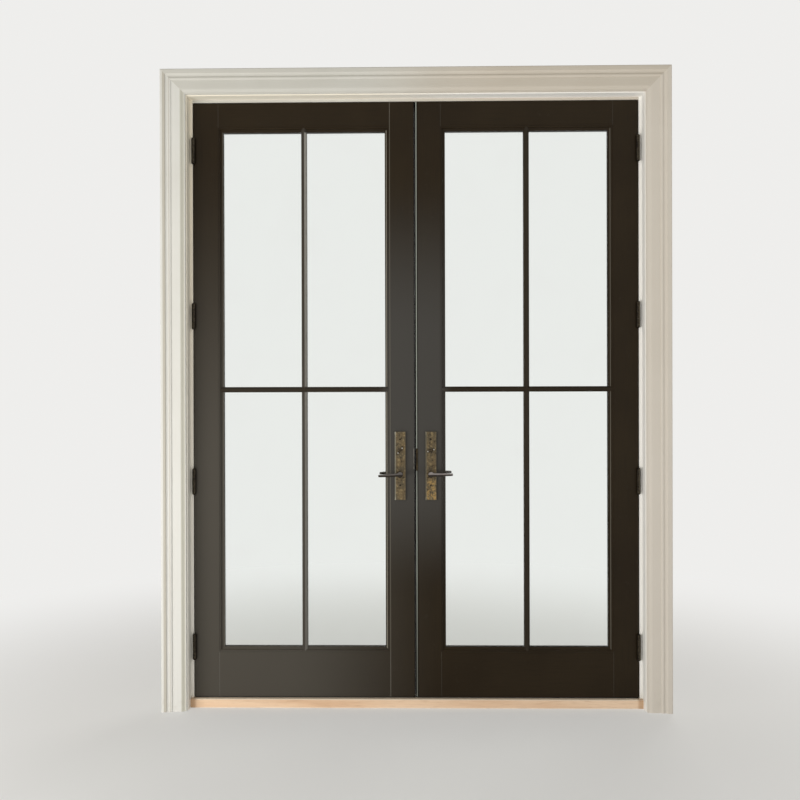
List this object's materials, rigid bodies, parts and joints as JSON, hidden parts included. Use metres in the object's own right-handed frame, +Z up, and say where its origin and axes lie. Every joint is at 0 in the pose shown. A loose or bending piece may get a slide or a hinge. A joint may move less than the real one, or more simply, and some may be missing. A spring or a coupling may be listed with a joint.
{
  "type": "french doors",
  "caption": "Pair of glazed french doors that swing into the room, in a cased frame with an oak threshold, levers and thumb-turns.",
  "frame": {"origin": "on the floor, midway between the jambs, in the plane of the closed leaves' room-side faces", "axes": "+X to the right as seen from the room, +Y from the room to the outside, +Z up"},
  "size_m": [2.057, 0.217, 2.597],
  "materials": {
    "white_paint": "off-white satin paint on wood",
    "leaf_paint": "dark bronze semi-gloss paint on wood",
    "oak": "light oak, clear satin",
    "sill_metal": "dark bronze anodised",
    "clear_glass": "clear float glass",
    "spacer_metal": "dull dark grey",
    "antique_bronze": "antique bronze, worn to gold and brown at the edges",
    "black_bronze": "near-black oiled bronze",
    "lock_steel": "plain steel",
    "seal_rubber": "matt black foam and rubber"
  },
  "bodies": {
    "frame": {"left_jamb": "white_paint", "right_jamb": "white_paint", "head_jamb": "white_paint", "left_extension_jamb": "white_paint", "right_extension_jamb": "white_paint", "head_extension_jamb": "white_paint", "left_casing": "white_paint", "right_casing": "white_paint", "head_casing": "white_paint", "oak_threshold": "oak", "exterior_sill": "sill_metal", "frame_weatherstrips": "seal_rubber", "hinge_jamb_halves": "black_bronze", "bolt_keepers": "lock_steel"},
    "left_leaf": {"left_hinge_stile": "leaf_paint", "left_meeting_stile": "leaf_paint", "left_top_rail": "leaf_paint", "left_bottom_rail": "leaf_paint", "left_inner_pane": "clear_glass", "left_outer_pane": "clear_glass", "left_pane_spacer": "spacer_metal", "left_inside_muntins": "leaf_paint", "left_outside_muntins": "leaf_paint", "left_glazing_beads": "leaf_paint", "left_door_sweep": "seal_rubber", "left_hinge_leaf_halves": "black_bronze", "left_lock_case": "lock_steel", "left_inside_escutcheon": "antique_bronze", "left_outside_escutcheon": "antique_bronze"},
    "right_leaf": {"right_hinge_stile": "leaf_paint", "right_meeting_stile": "leaf_paint", "right_top_rail": "leaf_paint", "right_bottom_rail": "leaf_paint", "right_inner_pane": "clear_glass", "right_outer_pane": "clear_glass", "right_pane_spacer": "spacer_metal", "right_inside_muntins": "leaf_paint", "right_outside_muntins": "leaf_paint", "right_glazing_beads": "leaf_paint", "right_door_sweep": "seal_rubber", "right_hinge_leaf_halves": "black_bronze", "right_lock_case": "lock_steel", "right_inside_escutcheon": "antique_bronze", "right_outside_escutcheon": "antique_bronze", "meeting_astragal": "leaf_paint", "meeting_seal": "seal_rubber", "meeting_strike": "antique_bronze"},
    "left_lever": {"left_inside_lever": "antique_bronze", "left_outside_lever": "antique_bronze"},
    "right_lever": {"right_inside_lever": "antique_bronze", "right_outside_lever": "antique_bronze"},
    "left_thumb_turn": {"left_thumb_turn": "antique_bronze"},
    "right_thumb_turn": {"right_thumb_turn": "antique_bronze"},
    "latch_bolt": {"latch_bolt": "lock_steel"},
    "deadbolt": {"deadbolt": "lock_steel"},
    "top_shoot_bolt": {"top_shoot_bolt": "lock_steel"},
    "bottom_shoot_bolt": {"bottom_shoot_bolt": "lock_steel"}
  },
  "joints": [
    {"name": "left_leaf_swing", "type": "hinge", "parent": "frame", "child": "left_leaf", "pos_m": [-0.9088, -0.0085, 1.2], "axis": [0, 0, -1], "range_deg": [0, 100]},
    {"name": "right_leaf_swing", "type": "hinge", "parent": "frame", "child": "right_leaf", "pos_m": [0.9088, -0.0085, 1.2], "axis": [0, 0, 1], "range_deg": [0, 100]},
    {"name": "left_lever_turn", "type": "hinge", "parent": "left_leaf", "child": "left_lever", "pos_m": [-0.0628, 0, 0.956], "axis": [0, -1, 0], "range_deg": [0, 45], "stiffness_Nm_per_rad": 1, "springref_deg": -28.65},
    {"name": "right_lever_turn", "type": "hinge", "parent": "right_leaf", "child": "right_lever", "pos_m": [0.0628, 0, 0.956], "axis": [0, -1, 0], "range_deg": [0, 45]},
    {"name": "top_shoot_bolt_slide", "type": "slide", "parent": "right_leaf", "child": "top_shoot_bolt", "axis": [0, 0, 1], "range_m": [0, 0.03]},
    {"name": "bottom_shoot_bolt_slide", "type": "slide", "parent": "right_leaf", "child": "bottom_shoot_bolt", "axis": [0, 0, -1], "range_m": [0, 0.03]},
    {"name": "left_thumb_turn_turn", "type": "hinge", "parent": "left_leaf", "child": "left_thumb_turn", "pos_m": [-0.0628, 0, 1.052], "axis": [0, -1, 0], "range_deg": [0, 90]},
    {"name": "deadbolt_slide", "type": "slide", "parent": "left_leaf", "child": "deadbolt", "axis": [1, 0, 0], "range_m": [0, 0.02]},
    {"name": "right_thumb_turn_turn", "type": "hinge", "parent": "right_leaf", "child": "right_thumb_turn", "pos_m": [0.0628, 0, 1.052], "axis": [0, -1, 0], "range_deg": [0, 90]},
    {"name": "latch_bolt_slide", "type": "slide", "parent": "left_leaf", "child": "latch_bolt", "axis": [1, 0, 0], "range_m": [0, 0.012]}
  ],
  "couplings": [
    {"joint": "top_shoot_bolt_slide", "follows": "right_lever_turn", "m_per_rad": 0.038197},
    {"joint": "bottom_shoot_bolt_slide", "follows": "right_lever_turn", "m_per_rad": 0.038197},
    {"joint": "deadbolt_slide", "follows": "left_thumb_turn_turn", "m_per_rad": 0.012732}
  ]
}
